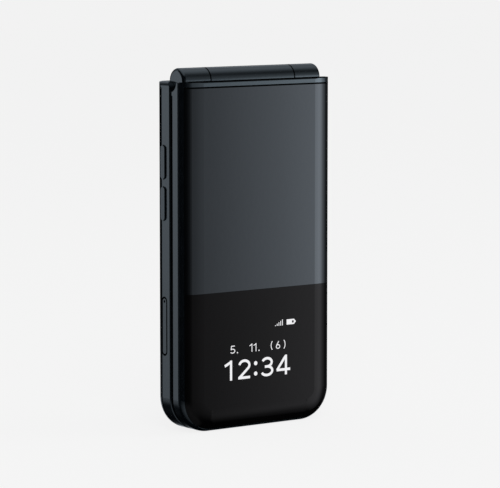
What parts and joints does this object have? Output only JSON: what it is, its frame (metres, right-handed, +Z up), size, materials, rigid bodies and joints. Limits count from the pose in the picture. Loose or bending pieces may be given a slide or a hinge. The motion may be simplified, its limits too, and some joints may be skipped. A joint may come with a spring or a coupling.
{
  "type": "flip phone",
  "caption": "Clamshell mobile phone, closed and standing, with a hinge barrel on top, a glossy two-tone lid cover, an inner display and a keypad.",
  "frame": {"origin": "on the foot, midway across the width, at the hinge axis's depth", "axes": "+Z up along the closed phone, X along the hinge barrel, -Y out of the lid's front"},
  "size_m": [0.0605, 0.0164, 0.1188],
  "materials": {
    "housing": "smooth dark navy-grey coating with a soft shine",
    "cover_tint": "high-gloss clear cover over a dark blue-grey tint",
    "window_black": "high-gloss clear window, black behind",
    "inner_panel": "fine satin moulding",
    "key_cap": "satin painted keycaps with printed figures",
    "trim_metal": "fine circular brushing",
    "display": "dark display module",
    "circuit_board": "green solder mask",
    "flex_circuit": "amber film",
    "steel": "plain machined or stamped metal",
    "bush_plastic": "bare moulded bearing plastic",
    "rubber": "soft matt rubber",
    "battery_wrap": "plain film wrap",
    "module_black": "moulded black housing"
  },
  "bodies": {
    "base": {"base_frame": "housing", "back_cover": "housing", "keypad_deck": "inner_panel", "keypad_mat": "rubber", "keypad_board": "circuit_board", "main_board": "circuit_board", "shield_can": "steel", "battery": "battery_wrap", "charging_socket": "steel", "loudspeaker": "module_black", "vibration_motor": "steel", "camera_module": "module_black", "camera_window": "window_black", "card_reader": "steel", "side_switches": "steel", "base_screws": "steel", "hinge_shaft": "steel", "hinge_pivot": "steel", "hinge_caps": "housing", "hinge_flex_base": "flex_circuit"},
    "lid": {"lid_frame": "housing", "cover_panel": "cover_tint", "display_window": "window_black", "sub_display": "display", "lid_inner_cover": "inner_panel", "main_display_glass": "window_black", "main_display": "display", "lid_board": "circuit_board", "earpiece": "module_black", "lid_magnet": "steel", "lid_bumpers": "rubber", "lid_screws": "steel", "hinge_cartridge": "steel", "hinge_cam": "steel", "hinge_spring": "steel", "hinge_bush": "bush_plastic", "hinge_flex_lid": "flex_circuit"},
    "card_tray": {"card_tray": "housing"},
    "nav_rocker": {"nav_trim": "trim_metal"},
    "nav_ring": {"nav_ring": "key_cap"},
    "key_star": {"key_star": "key_cap"},
    "key_0": {"key_0": "key_cap"},
    "key_hash": {"key_hash": "key_cap"},
    "key_7": {"key_7": "key_cap"},
    "key_8": {"key_8": "key_cap"},
    "key_9": {"key_9": "key_cap"},
    "key_4": {"key_4": "key_cap"},
    "key_5": {"key_5": "key_cap"},
    "key_6": {"key_6": "key_cap"},
    "key_1": {"key_1": "key_cap"},
    "key_2": {"key_2": "key_cap"},
    "key_3": {"key_3": "key_cap"},
    "key_send": {"key_send": "key_cap"},
    "key_clear": {"key_clear": "key_cap"},
    "key_end": {"key_end": "key_cap"},
    "key_soft_left": {"key_soft_left": "key_cap"},
    "key_soft_right": {"key_soft_right": "key_cap"},
    "key_ok": {"key_ok": "key_cap"},
    "volume_down": {"volume_down": "housing"},
    "volume_up": {"volume_up": "housing"}
  },
  "joints": [
    {"name": "lid_hinge", "type": "hinge", "parent": "base", "child": "lid", "pos_m": [0, 0, 0.1145], "axis": [-1, 0, 0], "range_deg": [0, 160]},
    {"name": "card_tray_slide", "type": "slide", "parent": "base", "child": "card_tray", "axis": [-1, 0, 0], "range_m": [0, 0.018]},
    {"name": "nav_tilt_up_down", "type": "hinge", "parent": "base", "child": "nav_rocker", "pos_m": [0, 0.0017, 0.089], "axis": [1, 0, 0], "range_deg": [-1.2, 1.2], "stiffness_Nm_per_rad": 0.4},
    {"name": "nav_tilt_left_right", "type": "hinge", "parent": "nav_rocker", "child": "nav_ring", "pos_m": [0, 0.0017, 0.089], "axis": [0, 0, 1], "range_deg": [-1.2, 1.2], "stiffness_Nm_per_rad": 0.4},
    {"name": "key_star_press", "type": "slide", "parent": "base", "child": "key_star", "axis": [0, 1, 0], "range_m": [0, 0.0003], "stiffness_N_per_m": 3000},
    {"name": "key_0_press", "type": "slide", "parent": "base", "child": "key_0", "axis": [0, 1, 0], "range_m": [0, 0.0003], "stiffness_N_per_m": 3000},
    {"name": "key_hash_press", "type": "slide", "parent": "base", "child": "key_hash", "axis": [0, 1, 0], "range_m": [0, 0.0003], "stiffness_N_per_m": 3000},
    {"name": "key_7_press", "type": "slide", "parent": "base", "child": "key_7", "axis": [0, 1, 0], "range_m": [0, 0.0003], "stiffness_N_per_m": 3000},
    {"name": "key_8_press", "type": "slide", "parent": "base", "child": "key_8", "axis": [0, 1, 0], "range_m": [0, 0.0003], "stiffness_N_per_m": 3000},
    {"name": "key_9_press", "type": "slide", "parent": "base", "child": "key_9", "axis": [0, 1, 0], "range_m": [0, 0.0003], "stiffness_N_per_m": 3000},
    {"name": "key_4_press", "type": "slide", "parent": "base", "child": "key_4", "axis": [0, 1, 0], "range_m": [0, 0.0003], "stiffness_N_per_m": 3000},
    {"name": "key_5_press", "type": "slide", "parent": "base", "child": "key_5", "axis": [0, 1, 0], "range_m": [0, 0.0003], "stiffness_N_per_m": 3000},
    {"name": "key_6_press", "type": "slide", "parent": "base", "child": "key_6", "axis": [0, 1, 0], "range_m": [0, 0.0003], "stiffness_N_per_m": 3000},
    {"name": "key_1_press", "type": "slide", "parent": "base", "child": "key_1", "axis": [0, 1, 0], "range_m": [0, 0.0003], "stiffness_N_per_m": 3000},
    {"name": "key_2_press", "type": "slide", "parent": "base", "child": "key_2", "axis": [0, 1, 0], "range_m": [0, 0.0003], "stiffness_N_per_m": 3000},
    {"name": "key_3_press", "type": "slide", "parent": "base", "child": "key_3", "axis": [0, 1, 0], "range_m": [0, 0.0003], "stiffness_N_per_m": 3000},
    {"name": "key_send_press", "type": "slide", "parent": "base", "child": "key_send", "axis": [0, 1, 0], "range_m": [0, 0.0003], "stiffness_N_per_m": 3000},
    {"name": "key_clear_press", "type": "slide", "parent": "base", "child": "key_clear", "axis": [0, 1, 0], "range_m": [0, 0.0003], "stiffness_N_per_m": 3000},
    {"name": "key_end_press", "type": "slide", "parent": "base", "child": "key_end", "axis": [0, 1, 0], "range_m": [0, 0.0003], "stiffness_N_per_m": 3000},
    {"name": "key_soft_left_press", "type": "slide", "parent": "base", "child": "key_soft_left", "axis": [0, 1, 0], "range_m": [0, 0.0003], "stiffness_N_per_m": 3000},
    {"name": "key_soft_right_press", "type": "slide", "parent": "base", "child": "key_soft_right", "axis": [0, 1, 0], "range_m": [0, 0.0003], "stiffness_N_per_m": 3000},
    {"name": "key_ok_press", "type": "slide", "parent": "base", "child": "key_ok", "axis": [0, 1, 0], "range_m": [0, 0.0003], "stiffness_N_per_m": 3000},
    {"name": "volume_down_press", "type": "slide", "parent": "base", "child": "volume_down", "axis": [1, 0, 0], "range_m": [0, 0.00035], "stiffness_N_per_m": 3000},
    {"name": "volume_up_press", "type": "slide", "parent": "base", "child": "volume_up", "axis": [1, 0, 0], "range_m": [0, 0.00035], "stiffness_N_per_m": 3000}
  ]
}
